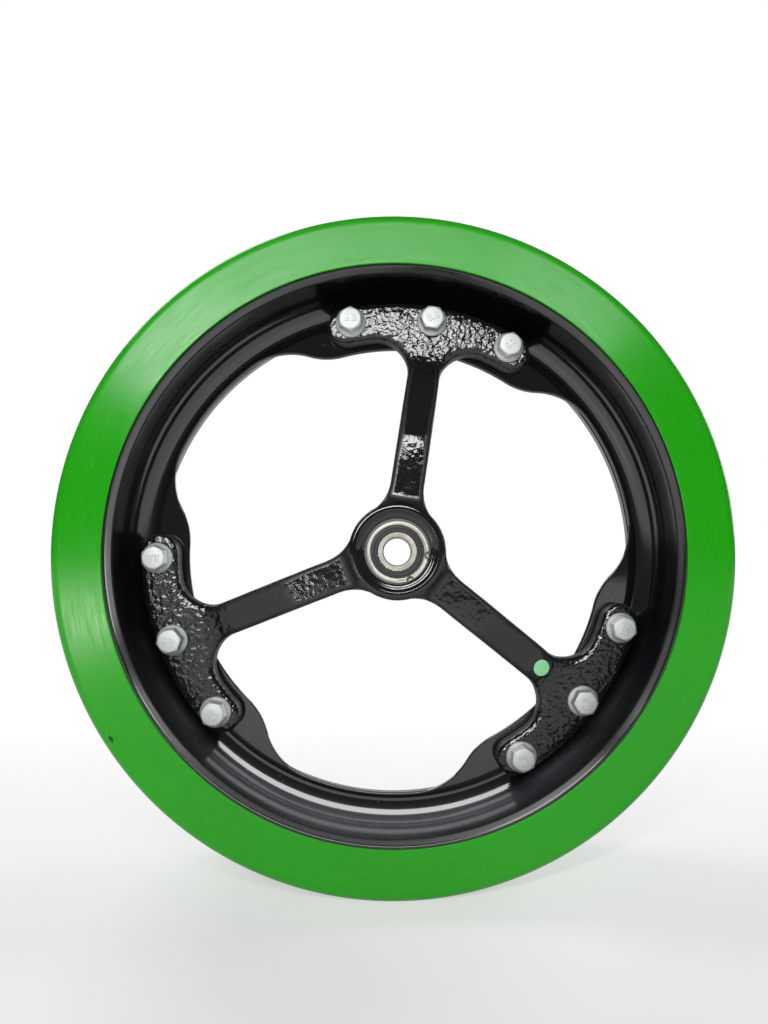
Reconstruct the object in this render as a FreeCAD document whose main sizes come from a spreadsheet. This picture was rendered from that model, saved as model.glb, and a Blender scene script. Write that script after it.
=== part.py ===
import FreeCAD, Part
import math
import os
import re
import Sketcher

# Planter depth wheel: a solid polyurethane tyre bonded on two pressed half-rims, carried by a cast
# three-spoke hub that turns on a sealed double-row ball bearing.
# The wheel spins about Y. The face with the bolt heads looks towards -Y, and Z is up.
# The origin is on the axis, halfway across the tyre.

# Driving dimensions in millimetres and degrees.
SIZES = {
    # tyre
    "tyre_outer_radius": 203.2,
    "tyre_width": 114.3,
    "tyre_thickness": 30.7,
    "tyre_shoulder": 6.0,
    # pressed half-rims
    "rim_wall": 3.0,
    "rim_lip_length": 10.2,
    "rim_lip_step": 0.8,
    "front_rim_inset": 0.8,
    "rear_rim_inset": 11.0,
    "rim_edge_round": 1.2,
    "rim_web": 4.0,
    "rim_cove": 6.5,
    "window_ledge": 13.5,
    "lobe_margin": 4.2,
    "lobe_end_angle": 2.5,
    "wave_radius": 42.0,
    # bolted joint
    "bolt_edge_distance": 10.6,
    "bolt_step_angle": 20.0,
    "bolt_radius": 5.0,
    "bolt_projection": 5.0,
    "bolt_hole_clearance": 0.5,
    "bolt_head_height": 10.0,
    "bolt_head_across": 14.0,
    "bolt_flange_radius": 9.75,
    "bolt_tip_chamfer": 1.0,
    "bolt_turn_step": 23.0,
    "nut_height": 10.0,
    "nut_across": 15.0,
    "nut_flange_radius": 10.5,
    "nut_bore_clearance": 0.05,
    "flange_rim": 1.6,
    "flange_slope": 1.3,
    "hexagon_land": 0.25,
    # cast three-spoke hub
    "spoke_clock": 8.6,
    "foot_rim_gap": 6.5,
    "foot_width": 23.6,
    "foot_thickness": 12.0,
    "foot_end_angle": 1.4,
    "foot_neck_radius": 20.0,
    "spoke_half_width": 10.5,
    "spoke_thickness": 12.0,
    "spoke_flat": 42.3,
    "spoke_bend_radius": 22.0,
    "spoke_bend_lead": 12.4,
    "spoke_rise": 21.0,
    "casting_round": 2.6,
    "hub_rim_wall": 5.5,
    "hub_flare_radius": 26.0,
    "hub_front_lead": 5.6,
    "hub_front_round": 2.5,
    "hub_recess_step": 4.5,
    "hub_recess_depth": 1.45,
    "hub_groove_cover": 1.2,
    "hub_shoulder": 4.0,
    "hub_shoulder_width": 2.5,
    # bearing
    "bearing_width": 17.5,
    "bearing_outer_radius": 20.0,
    "bearing_bore_radius": 8.5,
    "bearing_chamfer": 0.7,
    "ball_radius": 3.175,
    "ball_count": 8,
    "row_seal_gap": 3.4,
    "race_clearance": 0.06,
    "race_extra_radius": 0.15,
    "inner_land_drop": 2.4,
    "outer_land_rise": 1.95,
    "seal_seat_depth": 0.4,
    "seal_thickness": 0.9,
    "seal_inset": 0.25,
    "seal_lip_clearance": 0.3,
    "cage_half_width": 1.25,
    "cage_centre_gap": 0.3,
    "cage_finger": 1.8,
    "cage_clearance": 0.12,
    # circlip
    "clip_thickness": 1.75,
    "clip_groove_depth": 1.25,
    "clip_clearance": 0.05,
    "clip_radial_width": 2.2,
    "clip_gap_angle": 58.5,
    "clip_gap_place": 126.0,
    "clip_lug_radius": 2.3,
    "clip_hole_radius": 1.25,
}

SPOKES = 3
BOLTS_PER_FOOT = 3
HALF_ROUND = "half round"

doc = FreeCAD.newDocument("depth_wheel")
sheet = doc.addObject("Spreadsheet::Sheet", "Sizes")
for row, (alias, number) in enumerate(SIZES.items(), start=1):
    sheet.set(f"A{row}", alias)
    sheet.set(f"B{row}", str(number))
    sheet.setAlias(f"B{row}", alias)
doc.recompute()

ALIASES = re.compile(r"\b(" + "|".join(sorted(SIZES, key=len, reverse=True)) + r")\b")

# Places that several pieces share, written as formulas of the driving dimensions.
RIM_BOND_RADIUS = "(tyre_outer_radius - tyre_thickness)"
RIM_WALL_RADIUS = f"({RIM_BOND_RADIUS} - rim_wall)"
WINDOW_RADIUS = f"({RIM_WALL_RADIUS} - window_ledge)"
FOOT_OUTER_RADIUS = f"({RIM_WALL_RADIUS} - foot_rim_gap)"
FOOT_INNER_RADIUS = f"({FOOT_OUTER_RADIUS} - foot_width)"
FOOT_HALF_ANGLE = "(bolt_step_angle + foot_end_angle)"
LOBE_RADIUS = f"({FOOT_INNER_RADIUS} - lobe_margin)"
LOBE_HALF_ANGLE = f"({FOOT_HALF_ANGLE} + lobe_end_angle)"
BOLT_CIRCLE_RADIUS = f"({FOOT_OUTER_RADIUS} - bolt_edge_distance)"
BOLT_LENGTH = "(foot_thickness + 2 * rim_web + nut_height + bolt_projection)"
SPOKE_BEND_PLACE = f"({FOOT_INNER_RADIUS} - spoke_bend_lead)"
FOOT_FRONT = "(-rim_web - foot_thickness)"
SPOKE_FRONT = f"({FOOT_FRONT} - spoke_rise)"
HUB_FRONT = f"({SPOKE_FRONT} - hub_front_lead)"
HUB_RECESS_RADIUS = "(bearing_outer_radius + hub_recess_step)"
HUB_RADIUS = f"({HUB_RECESS_RADIUS} + hub_rim_wall)"
HUB_SHOULDER_RADIUS = "(bearing_outer_radius - hub_shoulder_width)"
RECESS_FLOOR = f"({HUB_FRONT} + hub_recess_depth)"
CLIP_FRONT = f"({RECESS_FLOOR} + hub_groove_cover)"
BEARING_FRONT = f"({CLIP_FRONT} + clip_thickness + clip_clearance)"
BEARING_BACK = f"({BEARING_FRONT} + bearing_width)"
HUB_BACK = f"({BEARING_BACK} + hub_shoulder)"
GROOVE_RADIUS = "(bearing_outer_radius + clip_groove_depth)"
PITCH_RADIUS = "((bearing_outer_radius + bearing_bore_radius) / 2)"
INNER_LAND_RADIUS = f"({PITCH_RADIUS} - inner_land_drop)"
OUTER_LAND_RADIUS = f"({PITCH_RADIUS} + outer_land_rise)"
SEAL_SEAT_RADIUS = f"({OUTER_LAND_RADIUS} + seal_seat_depth)"
RACE_RADIUS = "(ball_radius + race_extra_radius)"
SEAL_OUTSIDE = "(bearing_width / 2 - seal_inset)"
SEAL_INSIDE = f"({SEAL_OUTSIDE} - seal_thickness)"
ROW_OFFSET = f"({SEAL_INSIDE} - row_seal_gap)"


def linked(formula):
    """Point each named size of a formula at its cell of the sheet."""
    return ALIASES.sub(r"Sizes.\1", formula)


def measure(formula):
    """Return the present value of a formula."""
    return float(sheet.evalExpression(linked(formula)))


def bind(item, **formulas):
    """Bind properties of an object to formulas of the sheet."""
    for prop, formula in formulas.items():
        item.setExpression(prop, linked(formula))


def new_body(label):
    body = doc.addObject("PartDesign::Body", label)
    body.Label = label
    return body


def origin_feature(body, role):
    return next(part for part in body.Origin.OriginFeatures if part.Role == role)


def new_sketch(body, name, plane, offset="0"):
    """Make a sketch on one of the body's own planes, moved along the plane's normal."""
    sketch = body.newObject("Sketcher::SketchObject", name)
    sketch.AttachmentSupport = (origin_feature(body, plane), [""])
    sketch.MapMode = "FlatFace"
    sketch.setExpression(".AttachmentOffset.Base.z", linked(offset))
    return sketch


def pin_point(sketch, geometry, position, across, up):
    """Hold one point of a sketch at formulas for its two coordinates."""
    for kind, axis, formula in (("DistanceX", -2, across), ("DistanceY", -1, up)):
        distance = measure(formula)
        if abs(distance) < 1e-9:
            sketch.addConstraint(Sketcher.Constraint("PointOnObject", geometry, position, axis))
            continue
        index = sketch.addConstraint(Sketcher.Constraint(kind, -1, 1, geometry, position, distance))
        sketch.setExpression(f"Constraints[{index}]", linked(formula))


def draw_outline(sketch, corners):
    """Draw a closed outline.

    Each corner holds formulas for its two coordinates. A corner with a radius formula and a turn
    leaves along an arc: turn is 1 for an anticlockwise arc and -1 for a clockwise one. A radius
    formula of HALF_ROUND makes the arc a half circle on its two ends.
    """
    points = [FreeCAD.Vector(measure(corner[0]), measure(corner[1]), 0) for corner in corners]
    pieces = []
    for index, corner in enumerate(corners):
        start = points[index]
        end = points[(index + 1) % len(points)]
        if len(corner) == 2:
            pieces.append((sketch.addGeometry(Part.LineSegment(start, end), False), 1, 2))
            continue
        chord = end - start
        turn = corner[3]
        half_round = corner[2] == HALF_ROUND
        radius = chord.Length / 2 if half_round else measure(corner[2])
        rise = math.sqrt(max(radius ** 2 - (chord.Length / 2) ** 2, 0))
        centre = start + chord * 0.5 + FreeCAD.Vector(-chord.y, chord.x, 0) * (rise * turn / chord.Length)
        first, last = (start, end) if turn > 0 else (end, start)
        circle = Part.Circle(centre, FreeCAD.Vector(0, 0, 1), radius)
        angles = [math.atan2(spot.y - centre.y, spot.x - centre.x) for spot in (first, last)]
        arc = sketch.addGeometry(Part.ArcOfCircle(circle, *angles), False)
        pieces.append((arc, 1, 2) if turn > 0 else (arc, 2, 1))
        if half_round:
            sketch.addConstraint(Sketcher.Constraint("Symmetric", arc, 1, arc, 2, arc, 3))
            continue
        radius_index = sketch.addConstraint(Sketcher.Constraint("Radius", arc, radius))
        sketch.setExpression(f"Constraints[{radius_index}]", linked(corner[2]))
    for index, (geometry, start_position, end_position) in enumerate(pieces):
        following, following_start, _ = pieces[(index + 1) % len(pieces)]
        sketch.addConstraint(
            Sketcher.Constraint("Coincident", geometry, end_position, following, following_start))
        pin_point(sketch, geometry, start_position, corners[index][0], corners[index][1])


def draw_circle(sketch, across, up, radius):
    """Draw a circle whose centre and radius follow formulas."""
    centre = FreeCAD.Vector(measure(across), measure(up), 0)
    ring = sketch.addGeometry(Part.Circle(centre, FreeCAD.Vector(0, 0, 1), measure(radius)), False)
    pin_point(sketch, ring, 3, across, up)
    index = sketch.addConstraint(Sketcher.Constraint("Radius", ring, measure(radius)))
    sketch.setExpression(f"Constraints[{index}]", linked(radius))


def revolve(body, name, corners):
    """Turn an outline of (radius, place along the axis) corners about the wheel's axis."""
    sketch = new_sketch(body, f"{name}_profile", "XY_Plane")
    draw_outline(sketch, corners)
    feature = body.newObject("PartDesign::Revolution", name)
    feature.Profile = sketch
    feature.ReferenceAxis = (sketch, ["V_Axis"])
    feature.Angle = 360
    return feature


def polar_pattern(body, name, originals, count):
    pattern = body.newObject("PartDesign::PolarPattern", name)
    pattern.Originals = originals
    pattern.Axis = (origin_feature(body, "Y_Axis"), [""])
    pattern.Angle = 360
    bind(pattern, Occurrences=count)
    body.Tip = pattern
    return pattern


def pocket_both_ways(body, name, sketch):
    """Cut a sketch through everything on both sides of its plane."""
    pocket = body.newObject("PartDesign::Pocket", name)
    pocket.Profile = sketch
    pocket.SideType = "Symmetric"
    pocket.Type = "ThroughAll"
    return pocket


def clock(item, formula="spoke_clock"):
    """Turn a finished piece about the axis to its angle at rest."""
    item.Placement = FreeCAD.Placement(FreeCAD.Vector(), FreeCAD.Rotation(FreeCAD.Vector(0, 1, 0), 1))
    item.setExpression("Placement.Rotation.Angle", linked(formula))


def around(radius, angle):
    """Formulas for a point at an angle clockwise from the top, seen from the front."""
    return f"({radius}) * sin({angle})", f"({radius}) * cos({angle})"


def bolt_angles():
    """Formulas for the nine bolts' angles, three about each spoke."""
    for spoke in range(SPOKES):
        for bolt in range(BOLTS_PER_FOOT):
            place = bolt - (BOLTS_PER_FOOT - 1) // 2
            yield f"{360 // SPOKES * spoke} + {place} * bolt_step_angle"


def cut_bolt_holes(body, name):
    sketch = new_sketch(body, f"{name}_sketch", "XZ_Plane")
    for angle in bolt_angles():
        draw_circle(sketch, *around(BOLT_CIRCLE_RADIUS, angle), "bolt_radius + bolt_hole_clearance")
    return pocket_both_ways(body, name, sketch)


# Solid tyre, turned flat on both sides, with rounded shoulders.
def make_tyre():
    body = new_body("tyre")
    half = "tyre_width / 2"
    crown = "tyre_outer_radius"
    revolve(body, "tyre_ring", [
        (RIM_BOND_RADIUS, f"-{half}"),
        (f"{crown} - tyre_shoulder", f"-{half}", "tyre_shoulder", 1),
        (crown, f"-{half} + tyre_shoulder"),
        (crown, f"{half} - tyre_shoulder", "tyre_shoulder", 1),
        (f"{crown} - tyre_shoulder", half),
        (RIM_BOND_RADIUS, half),
    ])
    return body


# Wavy inner edge of the rim's web: a lobe under each foot, joined by two equal arcs to the window.
def window_corners():
    lobe_reach = f"({LOBE_RADIUS} + wave_radius)"
    window_reach = f"({WINDOW_RADIUS} - wave_radius)"
    swing_cosine = (f"({lobe_reach} ^ 2 + {window_reach} ^ 2 - 4 * wave_radius ^ 2)"
                    f" / (2 * {lobe_reach} * {window_reach})")
    swing = f"acos({swing_cosine}) / 1 deg"
    corners = []
    for spoke in range(SPOKES):
        middle = f"{360 // SPOKES * spoke}"
        sides = {}
        for side in (-1, 1):
            lobe_angle = f"({middle} + {side} * {LOBE_HALF_ANGLE})"
            window_angle = f"({middle} + {side} * ({LOBE_HALF_ANGLE} + {swing}))"
            lobe_centre = around(lobe_reach, lobe_angle)
            window_centre = around(window_reach, window_angle)
            turn = tuple(f"({a} + {b}) / 2" for a, b in zip(lobe_centre, window_centre))
            sides[side] = (around(WINDOW_RADIUS, window_angle), turn, around(LOBE_RADIUS, lobe_angle))
        window_start, turn_start, lobe_start = sides[-1]
        window_end, turn_end, lobe_end = sides[1]
        corners += [
            (*window_start, "wave_radius", -1),
            (*turn_start, "wave_radius", 1),
            (*lobe_start, LOBE_RADIUS, -1),
            (*lobe_end, "wave_radius", 1),
            (*turn_end, "wave_radius", -1),
            (*window_end, WINDOW_RADIUS, -1),
        ]
    return corners


# Pressed half-rim: lip, wall, cove and web. The two halves meet web to web at the tyre's middle.
# The inset is how far the lip's edge lies inside the tyre's side.
def make_rim_half(label, side, inset):
    body = new_body(label)
    turn = side
    edge = f"{side} * (tyre_width / 2 - {inset})"
    lip_end = f"{edge} - {side} * rim_lip_length"
    web_face = f"{side} * rim_web"
    lip_radius = f"{RIM_WALL_RADIUS} - rim_lip_step"
    revolve(body, f"{label}_pressing", [
        (RIM_BOND_RADIUS, "0"),
        (RIM_BOND_RADIUS, edge),
        (f"{lip_radius} + rim_edge_round", edge, "rim_edge_round", turn),
        (lip_radius, f"{edge} - {side} * rim_edge_round"),
        (lip_radius, lip_end),
        (RIM_WALL_RADIUS, f"{lip_end} - {side} * rim_lip_step"),
        (RIM_WALL_RADIUS, f"{web_face} + {side} * rim_cove", "rim_cove", -turn),
        (f"{RIM_WALL_RADIUS} - rim_cove", web_face),
        (f"{LOBE_RADIUS} - rim_web", web_face),
        (f"{LOBE_RADIUS} - rim_web", "0"),
    ])
    window = new_sketch(body, f"{label}_window_sketch", "XZ_Plane")
    draw_outline(window, window_corners())
    pocket_both_ways(body, f"{label}_window", window)
    body.Tip = cut_bolt_holes(body, f"{label}_holes")
    clock(body)
    return body


# Outline of one arm, seen from the front: a curved foot with round ends on a straight spoke.
def arm_corners():
    neck_across = "(spoke_half_width + foot_neck_radius)"
    neck_reach = f"({FOOT_INNER_RADIUS} - foot_neck_radius)"
    neck_up = f"sqrt({neck_reach} ^ 2 - {neck_across} ^ 2)"
    flare_across = "(spoke_half_width + hub_flare_radius)"
    flare_reach = f"({HUB_RADIUS} + hub_flare_radius)"
    flare_up = f"sqrt({flare_reach} ^ 2 - {flare_across} ^ 2)"
    outer = around(FOOT_OUTER_RADIUS, FOOT_HALF_ANGLE)
    inner = around(FOOT_INNER_RADIUS, FOOT_HALF_ANGLE)
    neck = tuple(f"{part} * {FOOT_INNER_RADIUS} / {neck_reach}" for part in (neck_across, neck_up))
    flare = tuple(f"{part} * {HUB_RADIUS} / {flare_reach}" for part in (flare_across, flare_up))
    side = "spoke_half_width"

    def left(point):
        return f"-({point[0]})", point[1]

    return [
        (*left(outer), FOOT_OUTER_RADIUS, -1),
        (*outer, HALF_ROUND, -1),
        (*inner, FOOT_INNER_RADIUS, 1),
        (*neck, "foot_neck_radius", 1),
        (side, neck_up),
        (side, flare_up, "hub_flare_radius", 1),
        flare,
        (*left(flare), "hub_flare_radius", 1),
        (f"-{side}", flare_up),
        (f"-{side}", neck_up, "foot_neck_radius", 1),
        (*left(neck), FOOT_INNER_RADIUS, 1),
        (*left(inner), HALF_ROUND, -1),
    ]


# Side line of one face of the arm, from the hub out to the foot, with its two bends rounded.
def arm_side(foot_level, spoke_level, beyond):
    reach = f"{FOOT_OUTER_RADIUS} + foot_thickness"
    inner_bend = f"({HUB_RADIUS} + spoke_flat)"
    slope = f"(atan(spoke_rise / ({SPOKE_BEND_PLACE} - {inner_bend})) / 1 deg)"
    tangent = f"spoke_bend_radius * tan({slope} / 2)"
    lean_in = f"{tangent} * sin({slope})"
    lean_out = f"{tangent} * cos({slope})"
    return [
        (beyond, "0"),
        (spoke_level, "0"),
        (spoke_level, f"{inner_bend} - {tangent}", "spoke_bend_radius", -1),
        (f"{spoke_level} + {lean_in}", f"{inner_bend} + {lean_out}"),
        (f"{foot_level} - {lean_in}", f"{SPOKE_BEND_PLACE} - {lean_out}", "spoke_bend_radius", 1),
        (foot_level, f"{SPOKE_BEND_PLACE} + {tangent}"),
        (foot_level, reach),
        (beyond, reach),
    ]


# Edges where the arm's sides meet its front face, which the casting leaves rounded.
def front_outline_edges(shape):
    rounded = []
    for index, edge in enumerate(shape.Edges, start=1):
        middle = edge.valueAt((edge.FirstParameter + edge.LastParameter) / 2)
        leans = []
        for face in shape.ancestorsOfType(edge, Part.Face):
            leans.append(face.normalAt(*face.Surface.parameter(middle)).y)
        if min(leans) < -0.5 and abs(max(leans)) < 0.1:
            rounded.append(f"Edge{index}")
    return rounded


# Cast three-spoke hub: three arms rising from their feet to a boss that holds the bearing.
def make_spoke_hub():
    body = new_body("spoke_hub")
    outline = new_sketch(body, "arm_outline", "XZ_Plane", "rim_web")
    draw_outline(outline, arm_corners())
    arm = body.newObject("PartDesign::Pad", "arm")
    arm.Profile = outline
    bind(arm, Length="foot_thickness + spoke_rise + hub_front_lead")

    front = new_sketch(body, "arm_front_line", "YZ_Plane")
    draw_outline(front, arm_side(FOOT_FRONT, SPOKE_FRONT, f"{HUB_FRONT} - foot_thickness"))
    pocket_both_ways(body, "arm_front", front)
    back = new_sketch(body, "arm_back_line", "YZ_Plane")
    foot_back = "-rim_web"
    spoke_back = f"({SPOKE_FRONT} + spoke_thickness)"
    back_line = arm_side(foot_back, spoke_back, "foot_thickness")[:4]
    foot_start = [(foot_back, SPOKE_BEND_PLACE), ("foot_thickness", SPOKE_BEND_PLACE)]
    draw_outline(back, back_line + foot_start)
    arm_back = pocket_both_ways(body, "arm_back", back)
    doc.recompute()

    rounding = body.newObject("PartDesign::Fillet", "arm_rounding")
    rounding.Base = (arm_back, front_outline_edges(arm_back.Shape))
    bind(rounding, Radius="casting_round")
    doc.recompute()

    arms = polar_pattern(body, "three_arms", [], str(SPOKES))
    arms.TransformMode = "Whole shape"

    revolve(body, "hub_boss", [
        (HUB_RECESS_RADIUS, HUB_FRONT),
        (f"{HUB_RADIUS} - hub_front_round", HUB_FRONT, "hub_front_round", 1),
        (HUB_RADIUS, f"{HUB_FRONT} + hub_front_round"),
        (HUB_RADIUS, HUB_BACK),
        (HUB_SHOULDER_RADIUS, HUB_BACK),
        (HUB_SHOULDER_RADIUS, BEARING_BACK),
        ("bearing_outer_radius", BEARING_BACK),
        ("bearing_outer_radius", BEARING_FRONT),
        (GROOVE_RADIUS, BEARING_FRONT),
        (GROOVE_RADIUS, CLIP_FRONT),
        ("bearing_outer_radius", CLIP_FRONT),
        ("bearing_outer_radius", RECESS_FLOOR),
        (HUB_RECESS_RADIUS, RECESS_FLOOR),
    ])
    body.Tip = cut_bolt_holes(body, "foot_holes")
    clock(body)
    return body


# Plain solid bound to the sheet, standing on the XY plane.
def primitive(kind, name, **formulas):
    item = doc.addObject(kind, name)
    bind(item, **formulas)
    return item


def lift(item, formula):
    item.setExpression(".Placement.Base.z", linked(formula))
    return item


def fuse(name, items):
    joined = doc.addObject("Part::MultiFuse", name)
    joined.Shapes = items
    return joined


def cut(name, base, tool):
    remainder = doc.addObject("Part::Cut", name)
    remainder.Base = base
    remainder.Tool = tool
    return remainder


# Chamfered hexagon on a round flange, with its seat at height 0.
def flanged_hexagon(name, across, height, flange_radius):
    hexagon = primitive("Part::Prism", f"{name}_hexagon",
                        Circumradius=f"{across} / 2 / cos(30)", Height=height)
    hexagon.Polygon = 6
    top = f"({across} / 2 - hexagon_land)"
    chamfer = primitive("Part::Cone", f"{name}_chamfer",
                        Radius1=f"{top} + {height} / tan(30)", Radius2=top, Height=height)
    crown = doc.addObject("Part::Common", f"{name}_crown")
    crown.Base = hexagon
    crown.Tool = chamfer
    rim = primitive("Part::Cylinder", f"{name}_flange", Radius=flange_radius, Height="flange_rim")
    slope = primitive("Part::Cone", f"{name}_flange_slope", Radius1=flange_radius,
                      Radius2=f"{across} / 2", Height="flange_slope")
    return fuse(name, [crown, rim, lift(slope, "flange_rim")])


# One bolt: a flanged head above its seat, and a shank with a chamfered tip below it.
def make_single_bolt():
    head = flanged_hexagon("bolt_head", "bolt_head_across", "bolt_head_height", "bolt_flange_radius")
    shank_length = f"({BOLT_LENGTH} - bolt_tip_chamfer)"
    shank = primitive("Part::Cylinder", "bolt_shank", Radius="bolt_radius", Height=shank_length)
    tip = primitive("Part::Cone", "bolt_tip", Radius1="bolt_radius - bolt_tip_chamfer",
                    Radius2="bolt_radius", Height="bolt_tip_chamfer")
    return fuse("single_bolt", [head, lift(shank, f"-{shank_length}"), lift(tip, f"-{BOLT_LENGTH}")])


def make_single_nut():
    block = flanged_hexagon("nut_block", "nut_across", "nut_height", "nut_flange_radius")
    bore = primitive("Part::Cylinder", "nut_bore", Radius="bolt_radius + nut_bore_clearance",
                     Height="nut_height")
    return cut("single_nut", block, bore)


# Nine copies of a fastener on the bolt circle, each stopped at its own angle when it was tightened.
def make_fastener_ring(label, single, seat, facing):
    doc.recompute()
    ring = doc.addObject("Part::Feature", label)
    copies = []
    for index, angle in enumerate(bolt_angles()):
        across, up = around(BOLT_CIRCLE_RADIUS, f"({angle})")
        place = FreeCAD.Vector(measure(across), measure(seat), measure(up))
        upright = FreeCAD.Rotation(FreeCAD.Vector(1, 0, 0), 90 * facing)
        tightened = FreeCAD.Rotation(FreeCAD.Vector(0, 0, 1), index * measure("bolt_turn_step"))
        fastener = single.Shape.copy()
        fastener.Placement = FreeCAD.Placement(place, upright * tightened)
        copies.append(fastener)
    ring.Shape = Part.makeCompound(copies)
    clock(ring)
    return ring


# Place along the axis, counted from the middle of the bearing.
def in_bearing(formula):
    return f"({BEARING_FRONT} + bearing_width / 2 + ({formula}))"


# Corners of the two ball grooves in a ring's running face, from the rear row to the front row.
def groove_corners(land, groove_centre, turn):
    half = f"sqrt({RACE_RADIUS} ^ 2 - ({land} - ({groove_centre})) ^ 2)"
    corners = []
    for row in (1, -1):
        corners.append((land, in_bearing(f"{row} * {ROW_OFFSET} + {half}"), RACE_RADIUS, turn))
        corners.append((land, in_bearing(f"{row} * {ROW_OFFSET} - {half}")))
    return corners


def make_outer_ring():
    body = new_body("bearing_outer_ring")
    half = "bearing_width / 2"
    outside = "bearing_outer_radius"
    chamfered = f"{half} - bearing_chamfer"
    groove_centre = f"{PITCH_RADIUS} + ball_radius + race_clearance - {RACE_RADIUS}"
    revolve(body, "outer_ring_turned", [
        (f"{outside} - bearing_chamfer", in_bearing(f"-{half}")),
        (outside, in_bearing(f"-({chamfered})")),
        (outside, in_bearing(chamfered)),
        (f"{outside} - bearing_chamfer", in_bearing(half)),
        (SEAL_SEAT_RADIUS, in_bearing(half)),
        (SEAL_SEAT_RADIUS, in_bearing(SEAL_INSIDE)),
        (OUTER_LAND_RADIUS, in_bearing(SEAL_INSIDE)),
        *groove_corners(OUTER_LAND_RADIUS, groove_centre, -1),
        (OUTER_LAND_RADIUS, in_bearing(f"-{SEAL_INSIDE}")),
        (SEAL_SEAT_RADIUS, in_bearing(f"-{SEAL_INSIDE}")),
        (SEAL_SEAT_RADIUS, in_bearing(f"-{half}")),
    ])
    return body


def make_inner_ring():
    body = new_body("bearing_inner_ring")
    half = "bearing_width / 2"
    bore = "bearing_bore_radius"
    chamfered = f"{half} - bearing_chamfer"
    groove_centre = f"{PITCH_RADIUS} - ball_radius - race_clearance + {RACE_RADIUS}"
    revolve(body, "inner_ring_turned", [
        (bore, in_bearing(f"-({chamfered})")),
        (bore, in_bearing(chamfered)),
        (f"{bore} + bearing_chamfer", in_bearing(half)),
        (INNER_LAND_RADIUS, in_bearing(half)),
        *groove_corners(INNER_LAND_RADIUS, groove_centre, 1),
        (INNER_LAND_RADIUS, in_bearing(f"-{half}")),
        (f"{bore} + bearing_chamfer", in_bearing(f"-{half}")),
    ])
    return body


# Rubber-faced seal, pressed into the outer ring and just clear of the inner ring.
def make_seal(label, side):
    body = new_body(label)
    lip = f"{INNER_LAND_RADIUS} + seal_lip_clearance"
    revolve(body, f"{label}_disc", [
        (lip, in_bearing(f"{side} * {SEAL_INSIDE}")),
        (SEAL_SEAT_RADIUS, in_bearing(f"{side} * {SEAL_INSIDE}")),
        (SEAL_SEAT_RADIUS, in_bearing(f"{side} * {SEAL_OUTSIDE}")),
        (lip, in_bearing(f"{side} * {SEAL_OUTSIDE}")),
    ])
    return body


# Angle of the first ball of a row: the two rows are staggered by half a step.
def row_start(side):
    return "0" if side < 0 else "180 / ball_count"


# Put a round item on the pitch circle of a row of balls, at an angle.
def put_in_row(item, side, angle):
    across, up = around(PITCH_RADIUS, angle)
    bind(item, **{
        ".Placement.Base.x": across,
        ".Placement.Base.y": in_bearing(f"{side} * {ROW_OFFSET}"),
        ".Placement.Base.z": up,
    })


# Crown cage: a rail beside the other row, with a pocket for each ball.
def make_cage(label, side):
    body = new_body(label)
    inside = f"{PITCH_RADIUS} - cage_half_width"
    outside = f"{PITCH_RADIUS} + cage_half_width"
    rail = in_bearing(f"{side} * cage_centre_gap / 2")
    fingertip = in_bearing(f"{side} * ({ROW_OFFSET} + cage_finger)")
    revolve(body, f"{label}_crown", [
        (inside, rail),
        (outside, rail),
        (outside, fingertip),
        (inside, fingertip),
    ])
    pocket = body.newObject("PartDesign::SubtractiveSphere", f"{label}_pocket")
    bind(pocket, Radius="ball_radius + cage_clearance")
    put_in_row(pocket, side, row_start(side))
    polar_pattern(body, f"{label}_pockets", [pocket], "ball_count")
    return body


def make_balls(name, side):
    balls = []
    for index in range(round(measure("ball_count"))):
        ball = primitive("Part::Sphere", f"{name}_{index + 1}", Radius="ball_radius")
        put_in_row(ball, side, f"({row_start(side)} + {index} * 360 / ball_count)")
        balls.append(ball)
    return balls


# Internal circlip: an open ring in the hub's groove with a drilled lug at each end.
def make_circlip():
    outside = f"({GROOVE_RADIUS} - clip_clearance)"
    sweep = "(360 - clip_gap_angle)"
    disc = primitive("Part::Cylinder", "clip_disc", Radius=outside, Height="clip_thickness", Angle=sweep)
    hole = primitive("Part::Cylinder", "clip_opening", Radius=f"{outside} - clip_radial_width",
                     Height="clip_thickness")
    lugs = []
    drills = []
    for name, angle in (("first", "0"), ("last", sweep)):
        reach = f"({outside} - clip_lug_radius)"
        place = {
            ".Placement.Base.x": f"{reach} * cos({angle})",
            ".Placement.Base.y": f"{reach} * sin({angle})",
        }
        lug = primitive("Part::Cylinder", f"clip_{name}_lug", Radius="clip_lug_radius",
                        Height="clip_thickness")
        drill = primitive("Part::Cylinder", f"clip_{name}_drill", Radius="clip_hole_radius",
                          Height="clip_thickness")
        for item, group in ((lug, lugs), (drill, drills)):
            bind(item, **place)
            group.append(item)
    blank = fuse("clip_blank", [cut("clip_ring", disc, hole), *lugs])
    clip = cut("circlip", blank, fuse("clip_drills", drills))
    flat = FreeCAD.Rotation(FreeCAD.Vector(1, 0, 0), 90)
    start = FreeCAD.Rotation(FreeCAD.Vector(0, 0, 1), measure("90 - clip_gap_place + clip_gap_angle / 2"))
    clip.Placement = FreeCAD.Placement(FreeCAD.Vector(0, measure(BEARING_FRONT), 0), flat * start)
    return clip


# Stop if any object failed to build, before anything is written.
def check(pieces):
    for item in doc.Objects:
        if {"Invalid", "Error"} & set(item.State):
            raise RuntimeError(f"{item.Label} did not build: {item.State}")
    for piece in pieces:
        if not piece.Shape.Solids or not piece.Shape.isValid():
            raise RuntimeError(f"{piece.Label} has no valid shape")


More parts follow.
